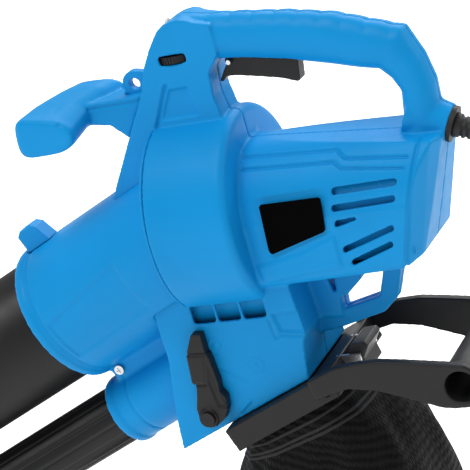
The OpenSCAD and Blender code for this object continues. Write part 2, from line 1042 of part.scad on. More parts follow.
module selector_shaft() {
    place()
        color(black)
            translate([lever_x, lever_y - 8, lever_z])
                rotate([-90, 0, 0]) {
                    cylinder(r = 5, h = 8, $fn = fine);
                    translate([0, 0, 8])
                        cylinder(r = 6, h = 2 * duct_w + 2, $fn = fine);
                    translate([0, 0, 2 * duct_w + 9.3])
                        cylinder(r = 9, h = 3, $fn = fine);
                }
}

module selector_flap() {
    place()
        color(black)
            translate([lever_x, 0, lever_z])
                difference() {
                    rotate([0, 6, 0])
                        union() {
                            slab(-1.5, 1.5, 45, 0, 48);
                            rotate([90, 0, 0])
                                cylinder(r = 9, h = 90, center = true, $fn = fine);
                        }
                    rotate([90, 0, 0])
                        cylinder(r = 6, h = 200, center = true, $fn = fine);
                }
}

// ---- Bag ----

module bag_frame() {
    place()
        color(black)
            on_flange()
                difference() {
                    union() {
                        slab(-55, 62, frame_w, -frame_h, -0.4);
                        slab(-60, -54, 20, -16, -8);
                    }
                    slab(-50, 39, 44.5, -30, 5);
                    // Slot beside the rear edge
                    for (side = [-1, 1])
                        translate([50, side * 54 - 10, -18])
                            cube([4, 20, 12]);
                }
}

// Two curved arms and a hollow cross tube behind the frame
module bag_bracket() {
    arm = [[62, -143], [70, -140], [89, -133], [108, -130.5], [129, -130], [152, -133], [185, -138],
        [205, -141], [205, -150], [200, -179], [188, -179.5], [177, -177.5], [145, -165],
        [124, -157], [98, -153], [84, -156], [66, -161]];
    hole_x = 198;
    hole_z = -160;
    place()
        color(black)
            difference() {
                union() {
                    for (side = [-1, 1])
                        translate([0, side * fork_w, 0])
                            side_plate(arm, 4.5);
                    translate([hole_x, 0, hole_z])
                        rotate([90, 0, 0])
                            cylinder(r = 19.5, h = 2 * fork_w + 9, center = true, $fn = fine);
                }
                translate([hole_x, 0, hole_z])
                    rotate([90, 0, 0])
                        cylinder(r = 14, h = 200, center = true, $fn = fine);
                on_flange()
                    slab(-90, 62, frame_w, -60, 10);
            }
}

module bag_latch() {
    place()
        color(black)
            difference() {
                side_plate([[84, -138], [89, -134], [101, -133], [104, -137], [97, -148], [100, -160],
                    [93, -163], [85, -152]], 18);
                translate([latch_x, 0, latch_z])
                    rotate([90, 0, 0])
                        cylinder(r = 2 + running, h = 60, center = true, $fn = fine);
            }
}

module latch_pin() {
    place()
        color(steel)
            union() {
                translate([latch_x, 0, latch_z])
                    rotate([90, 0, 0])
                        cylinder(r = 2, h = 46, center = true, $fn = fine);
                for (side = [-1, 1])
                    translate([latch_x - 18, side * 21 - 1.5, latch_z - 4])
                        cube([22, 3, 8]);
            }
}

module bag_skin(less) {
    skin([for (s = bag_path)
        section(s[0], s[1], s[2], s[3] - less, s[4] - less, bag_sides, 0.6)]);
}

module bag() {
    color(black)
        difference() {
            bag_skin(0);
            intersection() {
                translate([0, 0, 1])
                    bag_skin(cloth);
                slab(-300, 300, 300, bag_floor, 0);
            }
        }
}

module bag_zip() {
    color(grey)
        translate([26, 0, -748.2])
            difference() {
                slab(-38, 38, 4, -2.4, 0);
                for (i = [0:17])
                    translate([-36 + i * 4, -1.5, -3])
                        cube([2, 3, 1.5]);
            }
}

// ---- Mains lead ----

module at_gland(d) {
    place()
        translate([gland_x, 0, gland_z])
            rotate([0, 90 + gland_fall, 0])
                translate([0, 0, d])
                    children();
}

module cord_gland() {
    color(black)
        at_gland(2)
            cylinder(r = 15.5, h = 4, $fn = fine);
}

module cord_clamp() {
    color(black)
        at_gland(-30)
            difference() {
                translate([-8, -8.4, 0])
                    cube([16, 16.8, 6]);
                translate([0, 0, -1])
                    cylinder(r = cord_d / 2, h = 30, $fn = 48);
            }
}

module strain_relief() {
    color(black)
        at_gland(6)
            cylinder(r1 = 10.5, r2 = 5.5, h = 42, $fn = fine);
}

module cord() {
    color(black)
        skin(swept(cord_route, cord_d / 2, cord_sides));
}

module plug_body() {
    color(black)
        translate([plug_x, 0, plug_z - 44])
            union() {
                cylinder(r1 = 17, r2 = 14, h = 26, $fn = fine);
                translate([0, 0, 26])
                    cylinder(r1 = 12, r2 = 6, h = 18, $fn = fine);
            }
}

module plug_pins() {
    color(steel)
        for (side = [-1, 1])
            translate([plug_x, side * 9.5, plug_z - 63])
                cylinder(r = 2.4, h = 19, $fn = 32);
}

housing_left();
housing_right();
outlet_duct();
lower_brace();
intake_cover();
front_handle();
strap_eyelet();
name_plate();
suction_tube_upper();
suction_tube_lower();
blow_tube_upper();
blow_tube_lower();
tube_clip();
blow_clip();
tube_screws();
wheel_bracket();
wheel_axle();
wheel_left();
wheel_right();
tube_latch();
latch_spring();
housing_screws();
motor_bracket();
front_bearing();
rear_bearing();
rear_bearing_bridge();
stator();
field_coils();
brush_holders();
carbon_brushes();
rotor_shaft();
armature();
commutator();
cooling_fan();
impeller();
impeller_nut();
switch_body();
trigger();
trigger_pin();
speed_dial();
dial_board();
motor_lead();
mode_lever();
lever_cap();
selector_shaft();
selector_flap();
bag_frame();
bag_bracket();
bag_latch();
latch_pin();
bag();
bag_zip();
cord_gland();
cord_clamp();
strain_relief();
cord();
plug_body();
plug_pins();
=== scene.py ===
import json
import math

import bmesh
import bpy
import numpy as np
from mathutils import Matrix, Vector


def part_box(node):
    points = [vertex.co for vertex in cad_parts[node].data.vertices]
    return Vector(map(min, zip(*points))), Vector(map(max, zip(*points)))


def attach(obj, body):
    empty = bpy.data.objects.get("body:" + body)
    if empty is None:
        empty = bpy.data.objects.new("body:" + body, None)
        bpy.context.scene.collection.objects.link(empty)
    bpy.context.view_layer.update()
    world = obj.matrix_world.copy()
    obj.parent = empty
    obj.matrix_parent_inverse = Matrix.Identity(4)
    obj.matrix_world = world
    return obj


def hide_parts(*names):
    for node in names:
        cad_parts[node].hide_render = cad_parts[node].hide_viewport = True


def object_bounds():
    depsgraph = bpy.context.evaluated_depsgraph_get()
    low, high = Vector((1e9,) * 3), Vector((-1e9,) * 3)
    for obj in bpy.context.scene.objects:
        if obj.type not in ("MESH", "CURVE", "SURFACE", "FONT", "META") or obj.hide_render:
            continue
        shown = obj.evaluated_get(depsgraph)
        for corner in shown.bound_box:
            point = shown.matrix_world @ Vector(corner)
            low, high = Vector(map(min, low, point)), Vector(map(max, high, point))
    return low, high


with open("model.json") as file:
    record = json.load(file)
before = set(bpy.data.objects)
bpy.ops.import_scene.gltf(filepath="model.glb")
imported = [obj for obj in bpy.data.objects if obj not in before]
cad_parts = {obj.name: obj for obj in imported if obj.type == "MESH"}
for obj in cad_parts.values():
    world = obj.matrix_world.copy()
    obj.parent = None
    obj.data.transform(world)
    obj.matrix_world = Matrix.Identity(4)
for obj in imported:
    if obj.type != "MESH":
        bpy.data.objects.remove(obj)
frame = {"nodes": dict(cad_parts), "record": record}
cad_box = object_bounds()
record = frame["record"]
joints = {joint["name"]: joint for joint in record["behaviour"]["joints"]}
MM = 0.001

# ---- The machine's own frame: X along the motor shaft to the rear, zero at the fan ----

fan = Vector(joints["rotor_spin"]["pos_m"])
shaft = Vector(joints["rotor_spin"]["axis"]).normalized()
across = Vector((0, 1, 0))
AXES = np.array([shaft, across, shaft.cross(across)])
TUBE_ANGLE = math.radians(23.5)
# The distance between the axes of the two tubes
TUBE_GAP = 108


def at(x, y, z):
    """A point given in the machine's frame, in millimetres, as a point of the row frame."""
    return fan + MM * (x * Vector(AXES[0]) + y * Vector(AXES[1]) + z * Vector(AXES[2]))


def machine_points(points):
    """Points of the row frame, given in the machine's frame in millimetres."""
    return (points - np.array(fan)) @ AXES.T / MM


# ---- Camera ----

CAMERA_TURN = math.radians(20.5)
CAMERA_RISE = math.radians(24.3)
CAMERA_AWAY = 1.965
AIM_RIGHT = 0.0078
AIM_DOWN = 0.0252

right = Vector((math.cos(CAMERA_TURN), math.sin(CAMERA_TURN), 0))
forward = Vector((-math.sin(CAMERA_TURN) * math.cos(CAMERA_RISE),
                  math.cos(CAMERA_TURN) * math.cos(CAMERA_RISE), -math.sin(CAMERA_RISE)))
upward = right.cross(forward)
camera_data = bpy.data.cameras.new("camera")
camera_data.lens = 173.1
camera_data.sensor_width = 36
camera_data.clip_end = 100
camera = bpy.data.objects.new("camera", camera_data)
camera.location = fan - forward * CAMERA_AWAY + right * AIM_RIGHT - upward * AIM_DOWN
camera.rotation_mode = "QUATERNION"
camera.rotation_quaternion = forward.to_track_quat("-Z", "Y")
bpy.context.collection.objects.link(camera)
bpy.context.scene.camera = camera


# ---- Material helpers ----

class Nodes:
    """A material's node tree, with short calls for the nodes that the materials share."""

    def __init__(self, name, color, roughness, metallic=0.0):
        self.material = bpy.data.materials.new(name)
        self.material.use_nodes = True
        self.tree = self.material.node_tree
        self.shader = self.tree.nodes["Principled BSDF"]
        self.shader.inputs["Base Color"].default_value = (*color, 1)
        self.shader.inputs["Roughness"].default_value = roughness
        self.shader.inputs["Metallic"].default_value = metallic
        self.place = self.new("ShaderNodeTexCoord").outputs["Object"]
        self.bumped = None

    def new(self, kind, **settings):
        node = self.tree.nodes.new(kind)
        for key, value in settings.items():
            setattr(node, key, value)
        return node

    def link(self, source, target):
        self.tree.links.new(source, target)

    def noise(self, scale, detail=3.0, stretch=None, distortion=0.0):
        node = self.new("ShaderNodeTexNoise")
        node.inputs["Scale"].default_value = scale
        node.inputs["Detail"].default_value = detail
        node.inputs["Distortion"].default_value = distortion
        source = self.place
        if stretch:
            mapping = self.new("ShaderNodeMapping")
            mapping.inputs["Scale"].default_value = stretch
            self.link(source, mapping.inputs["Vector"])
            source = mapping.outputs["Vector"]
        self.link(source, node.inputs["Vector"])
        return node.outputs["Fac"]

    def ranged(self, source, low, high, start=0.3, end=0.7):
        node = self.new("ShaderNodeMapRange")
        node.inputs["From Min"].default_value = start
        node.inputs["From Max"].default_value = end
        node.inputs["To Min"].default_value = low
        node.inputs["To Max"].default_value = high
        self.link(source, node.inputs["Value"])
        return node.outputs["Result"]

    def color_between(self, factor, low, high):
        node = self.new("ShaderNodeMix", data_type="RGBA")
        node.inputs["A"].default_value = (*low, 1)
        node.inputs["B"].default_value = (*high, 1)
        self.link(factor, node.inputs["Factor"])
        self.link(node.outputs["Result"], self.shader.inputs["Base Color"])

    def rough_between(self, factor, low, high):
        self.link(self.ranged(factor, low, high), self.shader.inputs["Roughness"])

    def bump(self, height, distance, strength=1.0):
        node = self.new("ShaderNodeBump")
        node.inputs["Strength"].default_value = strength
        node.inputs["Distance"].default_value = distance
        self.link(height, node.inputs["Height"])
        if self.bumped:
            self.link(self.bumped, node.inputs["Normal"])
        self.bumped = node.outputs["Normal"]
        self.link(self.bumped, self.shader.inputs["Normal"])


def shade(color, factor):
    return tuple(min(1, channel * factor) for channel in color)


def moulded_plastic(name, color, roughness, grain_size=0.0006, grain=0.00002, spread=0.05, specular=0.35):
    """Injection-moulded plastic: spark-eroded grain, faint flow shading and uneven gloss."""
    nodes = Nodes(name, color, roughness)
    nodes.shader.inputs["Specular IOR Level"].default_value = specular
    flow = nodes.noise(9, 2, distortion=0.6)
    nodes.color_between(nodes.ranged(flow, 0, 1), shade(color, 1 - spread), shade(color, 1 + spread))
    nodes.rough_between(nodes.noise(70, 4), roughness - 0.04, roughness + 0.05)
    nodes.bump(nodes.noise(1 / grain_size, 2), grain)
    nodes.bump(nodes.noise(22, 2), 0.00012, 0.5)
    return nodes


def metal(name, color, roughness, streak=(1, 1, 1)):
    """Metal with fine tool marks along one direction and small stains."""
    nodes = Nodes(name, color, roughness, 1.0)
    marks = nodes.noise(900, 3, streak)
    nodes.color_between(nodes.ranged(nodes.noise(60, 4), 0, 1), shade(color, 0.86), color)
    nodes.rough_between(marks, roughness - 0.06, roughness + 0.1)
    nodes.bump(marks, 0.00002)
    return nodes


BLUE = (0.004, 0.27, 0.64)
blue = moulded_plastic("blue_shell", BLUE, 0.42, specular=0.12).material
black = moulded_plastic("black_plastic", (0.009, 0.009, 0.0095), 0.45, spread=0.12, specular=0.28).material
soft_black = moulded_plastic("tube_black", (0.012, 0.012, 0.0125), 0.36, 0.0009, 0.00001, 0.1, 0.3).material
grey = moulded_plastic("latch_grey", (0.022, 0.022, 0.022), 0.45, spread=0.08).material
wheel_black = moulded_plastic("wheel_black", (0.03, 0.03, 0.031), 0.55, 0.0012, 0.00006, 0.12).material
phenolic = moulded_plastic("phenolic", (0.05, 0.035, 0.028), 0.5, spread=0.2).material
plate_black = moulded_plastic("plate_gloss", (0.0003, 0.0003, 0.0003), 0.5,
                              0.002, 0.000004, 0.2, 0.02).material
board_green = moulded_plastic("board_green", (0.02, 0.13, 0.05), 0.35, 0.004, 0.00003, 0.2).material
carbon = moulded_plastic("carbon", (0.025, 0.025, 0.026), 0.6, 0.0004, 0.00004, 0.25).material
rubber = moulded_plastic("cord_rubber", (0.016, 0.016, 0.017), 0.52, 0.0005, 0.00003, 0.15).material
steel = metal("steel", (0.62, 0.63, 0.65), 0.3, (1, 8, 1)).material
laminate = metal("laminate", (0.33, 0.33, 0.35), 0.42, (14, 1, 14)).material
aluminium = metal("cast_aluminium", (0.66, 0.67, 0.69), 0.45).material
copper = metal("copper_wire", (0.72, 0.3, 0.13), 0.34, (30, 1, 1)).material
brass = metal("brass", (0.75, 0.55, 0.22), 0.3).material


def knit_cloth():
    """Warp-knitted bag cloth: zig-zag rows of loops, laid out by the cloth's own UV map in metres."""
    nodes = Nodes("knit_cloth", (0.009, 0.009, 0.0095), 0.85)
    row, loop = 0.0068, 0.0042
    layout = nodes.new("ShaderNodeUVMap", uv_map="cloth").outputs["UV"]
    split = nodes.new("ShaderNodeSeparateXYZ")
    nodes.link(layout, split.inputs["Vector"])

    def math_node(operation, first, second):
        node = nodes.new("ShaderNodeMath", operation=operation)
        for socket, value in zip(node.inputs, (first, second)):
            if isinstance(value, (int, float)):
                socket.default_value = value
            else:
                nodes.link(value, socket)
        return node.outputs["Value"]

    zigzag = math_node("PINGPONG", split.outputs["X"], loop)
    drift = math_node("MULTIPLY", nodes.noise(38, 2), 0.0045)
    drifted = math_node("ADD", split.outputs["Y"], drift)
    shifted = math_node("ADD", drifted, math_node("MULTIPLY", zigzag, 0.25))
    rows = math_node("SINE", math_node("MULTIPLY", shifted, math.tau / row), 0)
    ribs = math_node("SINE", math_node("MULTIPLY", split.outputs["X"], math.tau / loop), 0)
    yarn = math_node("ADD", rows, math_node("MULTIPLY", ribs, 0.22))
    height = nodes.ranged(yarn, 0, 1, -1.1, 1.1)
    # The rows of loops are also drawn in colour, darker where the yarn lies low: painted shade in the
    # hollows between the rows.
    nodes.color_between(height, (0.0008, 0.0008, 0.0009), (0.0075, 0.0075, 0.008))
    nodes.bump(height, 0.0012)
    nodes.bump(nodes.noise(420, 3), 0.0006, 0.7)
    nodes.shader.inputs["Sheen Weight"].default_value = 0.05
    nodes.shader.inputs["Sheen Roughness"].default_value = 0.5
    nodes.shader.inputs["Specular IOR Level"].default_value = 0.12
    return nodes.material


def woven_tape():
    """Woven binding tape with a slanting twill."""
    nodes = Nodes("woven_tape", (0.02, 0.02, 0.021), 0.8)
    weave = nodes.new("ShaderNodeTexWave", bands_direction="DIAGONAL")
    weave.inputs["Scale"].default_value = 260
    weave.inputs["Distortion"].default_value = 1.5
    nodes.link(nodes.place, weave.inputs["Vector"])
    # The twill is also drawn in colour, darker where the weave lies low: painted shade in its hollows.
    nodes.color_between(weave.outputs["Fac"], (0.006, 0.006, 0.0065), (0.02, 0.02, 0.021))
    nodes.bump(weave.outputs["Fac"], 0.0003)
    return nodes.material


knit = knit_cloth()
tape = woven_tape()


# ---- Mesh helpers ----

def new_piece(name, mesh, material, body, replaced=()):
    """Adds a visible piece that rides on a body and stands for the CAD nodes it replaces."""
    piece = bpy.data.objects.new(name, mesh)
    bpy.context.collection.objects.link(piece)
    if material:
        mesh.materials.clear()
        mesh.materials.append(material)
    if mesh.__class__.__name__ == "Mesh":
        mesh.shade_smooth()
    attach(piece, body)
    if replaced:
        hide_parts(*replaced)
    return piece


def mesh_from(name, points, faces):
    mesh = bpy.data.meshes.new(name)
    mesh.from_pydata([tuple(point) for point in points], [], faces)
    mesh.update()
    return mesh


def welded_copy(node):
    """A CAD node's mesh with its shared corners joined."""
    mesh = frame["nodes"][node].data.copy()
    work = bmesh.new()
    work.from_mesh(mesh)
    bmesh.ops.remove_doubles(work, verts=work.verts, dist=2e-6)
    work.to_mesh(mesh)
    work.free()
    return mesh


def with_modifiers(mesh, settings):
    """The mesh after a list of modifiers, each a kind and its settings."""
    holder = bpy.data.objects.new("work", mesh)
    bpy.context.collection.objects.link(holder)
    for kind, values in settings:
        modifier = holder.modifiers.new(kind, kind)
        for key, value in values.items():
            setattr(modifier, key, value)
    shaped = holder.evaluated_get(bpy.context.evaluated_depsgraph_get())
    made = bpy.data.meshes.new_from_object(shaped)
    bpy.data.objects.remove(holder)
    return made


def rounded(mesh, voxel, rounds):
    """The mesh with its edges rounded as moulded plastic has them."""
    return with_modifiers(mesh, [
        ("REMESH", {"mode": "VOXEL", "voxel_size": voxel * MM, "adaptivity": 0.0}),
        ("SMOOTH", {"factor": 0.5, "iterations": rounds})])


def moulded_mesh(node, voxel, rounds):
    return rounded(welded_copy(node), voxel, rounds)


def coordinates(mesh):
    """The mesh's vertices and their normals, as two arrays."""
    points = np.empty(len(mesh.vertices) * 3)
    mesh.vertices.foreach_get("co", points)
    normals = np.empty(len(mesh.vertices) * 3, np.float32)
    mesh.vertex_normals.foreach_get("vector", normals)
    return points.reshape(-1, 3), normals.reshape(-1, 3).astype(float)


def carve(mesh, depth_at):
    """Moves each vertex along its normal by depth_at(place, normal), in the machine's millimetres."""
    points, normals = coordinates(mesh)
    shift = depth_at(machine_points(points), normals @ AXES.T)
    mesh.vertices.foreach_set("co", (points + normals * shift[:, None] * MM).ravel())
    mesh.update()


def segment_distance(x, z, start, end):
    """Distance of the points (x, z) from a straight segment."""
    dx, dz = end[0] - start[0], end[1] - start[1]
    t = np.clip(((x - start[0]) * dx + (z - start[1]) * dz) / (dx * dx + dz * dz), 0, 1)
    return np.hypot(x - start[0] - t * dx, z - start[1] - t * dz)


def line_distance(x, z, line):
    return np.min([segment_distance(x, z, a, b) for a, b in zip(line, line[1:])], axis=0)


def fade(value, start, end):
    """1 at start or below, 0 at end or beyond, smooth between."""
    t = np.clip((value - start) / (end - start), 0, 1)
    return 1 - t * t * (3 - 2 * t)


def groove(x, z, line, half, depth):
    """A groove along the line, of the given half width; a depth below nothing raises a rib."""
    return -depth * fade(line_distance(x, z, line), half * 0.3, half)


def raised(x, z, outline, height, soft=1.2):
    """A flat pad of the outline's shape: its height inside, nothing outside."""
    ring = outline + outline[:1]
    inside = np.zeros(x.shape, bool)
    for (x0, z0), (x1, z1) in zip(ring, ring[1:]):
        crosses = (z0 > z) != (z1 > z)
        inside ^= crosses & (x < (x1 - x0) * (z - z0) / (z1 - z0 if z1 != z0 else 1e-9) + x0)
    distance = line_distance(x, z, ring) * np.where(inside, -1, 1)
    return height * fade(distance, -soft, soft)


# ---- Blue shells ----

# How far the motor housing, the duct and the post reach to each side, a little inside their faces
MOTOR_SIDE = 50
DUCT_SIDE = 46
POST_SIDE = 14
# Where the motor housing starts behind the drum, and where the grip starts and how far apart its pads are
MOTOR_START = 41
GRIP_START = 34
PAD_PITCH = 19.5
SHELL_VOXEL = 1.25
SHELL_ROUNDS = 6


def shell_details(place, normal):
    """Grooves, creases, pads and moulded marks of the shell halves."""
    x, y, z = place.T
    outward = (np.abs(normal[:, 1]) > 0.55) & (normal[:, 1] * y > 0)
    rounding = np.einsum("ij,ij->i", normal[:, 1:], place[:, 1:]) > 0
    shift = np.zeros(len(x))
    # Twin stepped grooves and the slanting band of the motor housing
    motor = outward & (np.abs(y) > MOTOR_SIDE) & (x > MOTOR_START)
    arch = rounding & (np.hypot(y, z) > 56.5) & (x > MOTOR_START) & (x < 193)
    steps = groove(x, z, [(43, 51), (96, 49.1), (129.2, 47.9), (137.4, 42), (192, 37.5)], 1.5, 1.9)
    steps += groove(x, z, [(43, 43.8), (97, 41.7), (126.8, 40.7), (134.1, 35.6), (188.5, 30)], 1.5, 1.9)
    shift += np.where(arch & (np.abs(y) > 20), steps, 0)
    lines = raised(x, z, [(43, -37), (84, -30), (118, -18), (118, -45), (97, -47), (46, -52)], 1.6, 2.0)
    lines -= raised(x, z, [(54, 21), (120, 23), (117, -14), (108, -16), (60, -31), (52, -28)], 0.7, 1.0)
    shift += np.where(motor, lines, 0)
    # Crease of the rear cap, right round the housing
    cap = rounding & (x > 160) & (np.abs(y) < 70)
    crease = groove(x, z, [(206, 62), (171, -58)], 1.9, 1.7)
    shift += np.where(cap & ~((z > 44) & (np.abs(y) < 24)), crease, 0)
    # Groove down the post, from the grip to the drum
    post = outward & (np.abs(y) > POST_SIDE) & (z > 40) & (x < 20)
    shift += np.where(post, groove(x, z, [(-15, 120), (-31, 89), (-43, 70), (-57, 48)], 2.4, 2.2), 0)
    # Finger pads along the top of the grip
    top = (normal[:, 2] > 0.15) & (z > 120) & (x > GRIP_START) & (x < 200)
    ridge = 1.3 * np.abs(np.sin(math.pi * (x - GRIP_START) / PAD_PITCH)) ** 0.4 - 1.3
    shift += np.where(top & (np.abs(y) < 17), ridge * fade(np.abs(y), 11, 17), 0)
    # Notch, channel and moulded marks of the duct
    duct = outward & (np.abs(y) > DUCT_SIDE) & (z < -85) & (x < 66)
    marks = groove(x, z, [(34, -90), (36, -108), (40, -105), (66, -109)], 1.6, 1.2)
    marks += raised(x, z, [(38, -84), (64, -84), (66, -106), (42, -103)], -2.2, 1.5)
    for cx, cz, radius in ((-22, -109, 6.5), (10, -131, 7.0)):
        marks += 0.7 * fade(np.abs(np.hypot(x - cx, z - cz) - radius), 0.5, 1.4)
        pad = [(cx - 3, cz - 3), (cx + 3, cz - 2), (cx + 2, cz + 3), (cx - 2, cz + 2)]
        marks += raised(x, z, pad, 0.8, 0.8)
    marks += groove(x, z, [(-27, -128), (-21, -131), (-12, -137), (-2, -145)], 1.3, -0.8)
    marks += groove(x, z, [(-16, -173), (-4, -164)], 1.9, -1.2)
    shift += np.where(duct, marks, 0)
    return shift


def shell_half(node, side):
    """A housing half moulded in one with its halves of the outlet duct and the brace."""
    whole = bmesh.new()
    whole.from_mesh(welded_copy(node))
    for other, lap in (("outlet_duct", 0.0), ("lower_brace", -0.6)):
        work = bmesh.new()
        work.from_mesh(welded_copy(other))
        for vertex in work.verts:
            vertex.co += 0.5 * MM * Vector(AXES[2]) + lap * MM * Vector(AXES[0])
        bmesh.ops.bisect_plane(work, geom=work.verts[:] + work.edges[:] + work.faces[:], dist=1e-6,
                               plane_co=(0, 0, 0), plane_no=(0, side, 0), clear_inner=True)
        rim = [edge for edge in work.edges if edge.is_boundary]
        bmesh.ops.triangle_fill(work, edges=rim, use_beauty=True)
        bmesh.ops.recalc_face_normals(work, faces=work.faces)
        part = bpy.data.meshes.new(other)
        work.to_mesh(part)
        work.free()
        whole.from_mesh(part)
    mesh = bpy.data.meshes.new(node)
    whole.to_mesh(mesh)
    whole.free()
    return rounded(mesh, SHELL_VOXEL, SHELL_ROUNDS)


for node, name, side, joined in (("housing_left", "shell_left", -1, "outlet_duct"),
                                 ("housing_right", "shell_right", 1, "lower_brace")):
    mesh = shell_half(node, side)
    carve(mesh, shell_details)
    new_piece(name, mesh, blue, "machine", [node, joined])


PLATE_STEP = 1.5
STEPS_PER_RIB = 16
RIB_HEIGHT = 0.5


def inner_plate(name, x0, x1, y0, y1, z0, z1):
    """A blue plate behind openings, with a rib at every few steps along its length."""
    steps = [x0 + PLATE_STEP * i for i in range(int((x1 - x0) / PLATE_STEP) + 1)]
    points, faces = [], []
    for index, x in enumerate(steps):
        rib = RIB_HEIGHT if index % STEPS_PER_RIB == 0 else 0
        outer = y1 + rib * math.copysign(1, y1)
        points += [at(x, y0, z0), at(x, outer, z0), at(x, outer, z1), at(x, y0, z1)]
        if index:
            low = 4 * index
            faces += [(low - 4 + i, low - 4 + (i + 1) % 4, low + (i + 1) % 4, low + i) for i in range(4)]
    last = len(points) - 4
    faces += [(3, 2, 1, 0), (last, last + 1, last + 2, last + 3)]
    new_piece(name, mesh_from(name, points, faces), blue, "machine")


for side, label in ((-1, "left"), (1, "right")):
    inner_plate(f"vent_baffle_{label}", 117, 182, side * 49.5, side * 51, -45, 25)
    inner_plate(f"pocket_floor_{label}", -40, 38, side * 36, side * 42, -90, -58)


def cover_details(place, normal):
    """Groove round the funnel near its rim, and a flat facet along each of its sides."""
    x, y, z = place.T
    run = -(x * math.cos(TUBE_ANGLE) + z * math.sin(TUBE_ANGLE))
    drop = x * math.sin(TUBE_ANGLE) - z * math.cos(TUBE_ANGLE)
    radius = np.hypot(y, drop)
    outer = (radius > 61) & (run > 90)
    rim = np.where(outer, groove(run, drop * 0, [(186, 0), (186.01, 0)], 2.0, 0.9), 0)
    side = outer & (run < 184) & (np.abs(y) > 40)
    facet = raised(run, drop, [(60, -24), (182, -6), (182, 34), (60, 30)], 1.3, 1.0)
    return rim - np.where(side, facet, 0)


mesh = moulded_mesh("intake_cover", 1.5, 9)
carve(mesh, cover_details)
new_piece("intake_shell", mesh, blue, "machine", ["intake_cover"])


def grip_details(place, normal):
    """Groove along each side of the front handle's arm."""
    x, _, z = place.T
    arm = (x > -108) & (np.abs(normal[:, 1]) > 0.4)
    return np.where(arm, groove(x, z, [(-106, 111), (-44, 109)], 1.8, 1.2), 0)


mesh = moulded_mesh("front_handle", 1.3, 16)
carve(mesh, grip_details)
new_piece("front_grip", mesh, blue, "machine", ["front_handle"])
new_piece("eyelet", moulded_mesh("strap_eyelet", 0.6, 6), blue,
          "machine", ["strap_eyelet"])
new_piece("release_latch", moulded_mesh("tube_latch", 0.6, 4), blue,
          "tube_latch", ["tube_latch"])

# ---- Black moulded pieces ----

# The mode lever's pivot, and how far its hidden back is set in from the duct
LEVER = (-42, -172)
LEVER_BACK = 0.6


def lever_details(place, normal):
    """Steps between the mode lever's handle, its waist and its head."""
    x, _, z = (place - np.array([LEVER[0], 0, LEVER[1]])).T
    steps = groove(x, z, [(-8, 32), (6, 31)], 1.3, 1.1) + groove(x, z, [(-4, 62), (14, 61)], 1.3, 1.1)
    steps += raised(x, z, [(-6, 35), (5, 34), (12, 59), (-4, 60)], 0.7, 1.4)
    steps -= raised(x, z, [(12, 10), (20, 8), (18, 17), (15, 22), (13, 50), (9, 34)], 1.6, 1.6)
    back = normal[:, 1] > 0.5
    return np.where(back, -LEVER_BACK, steps)


mesh = moulded_mesh("mode_lever", 0.6, 8)
carve(mesh, lever_details)
new_piece("mode_handle", mesh, black, "mode_selector", ["mode_lever"])


for node, name, voxel, rounds, material, body, slot in (
        ("trigger", "trigger_lever", 0.7, 6, black, "trigger", "black_plastic"),
        ("lever_cap", "mode_cap", 0.4, 4, black, "mode_selector", "black_plastic"),
        ("bag_frame", "frame_moulding", 1.0, 5, black, "bag", "black_plastic"),
        ("bag_bracket", "bracket_moulding", 1.1, 12, black, "bag", "black_plastic"),
        ("bag_latch", "latch_block", 0.8, 6, grey, "bag_latch", "black_plastic"),
        ("name_plate", "blank_plate", 0.4, 3, plate_black, "machine", "name_plate"),
        ("tube_clip", "clip_band", 1.1, 5, black, "machine", "black_plastic"),
        ("blow_clip", "clip_ring", 1.0, 5, black, "machine", "black_plastic"),
        ("wheel_bracket", "wheel_mount", 1.2, 5, black, "machine", "black_plastic"),
        ("wheel_left", "wheel_near", 0.9, 4, wheel_black, "wheel_left", "wheel_plastic"),
        ("wheel_right", "wheel_far", 0.9, 4, wheel_black, "wheel_right", "wheel_plastic")):
    new_piece(name, moulded_mesh(node, voxel, rounds), material, body, [node])


# ---- Tubes ----

def lathe(name, profile, origin, axis, segments=144, flutes=0, flute_depth=0.0, fluted=()):
    """A closed ring of profile points (along, radius, in millimetres) turned round an axis."""
    axis = axis.normalized()
    first = axis.orthogonal().normalized()
    second = axis.cross(first)
    points = []
    for index, (along, radius) in enumerate(profile):
        for step in range(segments):
            angle = math.tau * step / segments
            cut = flute_depth * max(0, math.cos(flutes * angle)) ** 6 if index in fluted else 0
            spoke = math.cos(angle) * first + math.sin(angle) * second
            points.append(origin + MM * (along * axis + (radius - cut) * spoke))
    count = len(profile)
    faces = [(i * segments + j, i * segments + (j + 1) % segments,
              (i + 1) % count * segments + (j + 1) % segments, (i + 1) % count * segments + j)
             for i in range(count) for j in range(segments)]
    return mesh_from(name, points, faces)


down_tube = Vector(at(-math.cos(TUBE_ANGLE), 0, -math.sin(TUBE_ANGLE)) - fan)
blow_start = at(math.sin(TUBE_ANGLE) * TUBE_GAP, 0, -math.cos(TUBE_ANGLE) * TUBE_GAP)
# Where the upper tubes end, and their outer and inner radii
TUBE_END = 560
SUCTION_RADII = (59, 56.5)
BLOW_RADII = (28, 25.5)


def rounded_pipe(start, end, outer, inner, collars):
    """Profile of a tube with rounded ends and raised collars, each a start and an end."""
    edge = 0.8
    profile = [(start, inner + edge), (start, outer - edge), (start + edge, outer)]
    for low, high, height in collars:
        profile += [(low - 1.2, outer), (low, outer + height), (high, outer + height), (high + 1.2, outer)]
    profile += [(end - edge, outer), (end, outer - edge), (end, inner + edge), (end - edge, inner)]
    return profile + [(start + edge, inner)]


def fluted_rows(profile, outer):
    """The numbers of the profile's points that lie on its outer radius."""
    return [index for index, (_, radius) in enumerate(profile) if abs(radius - outer) < 0.01]


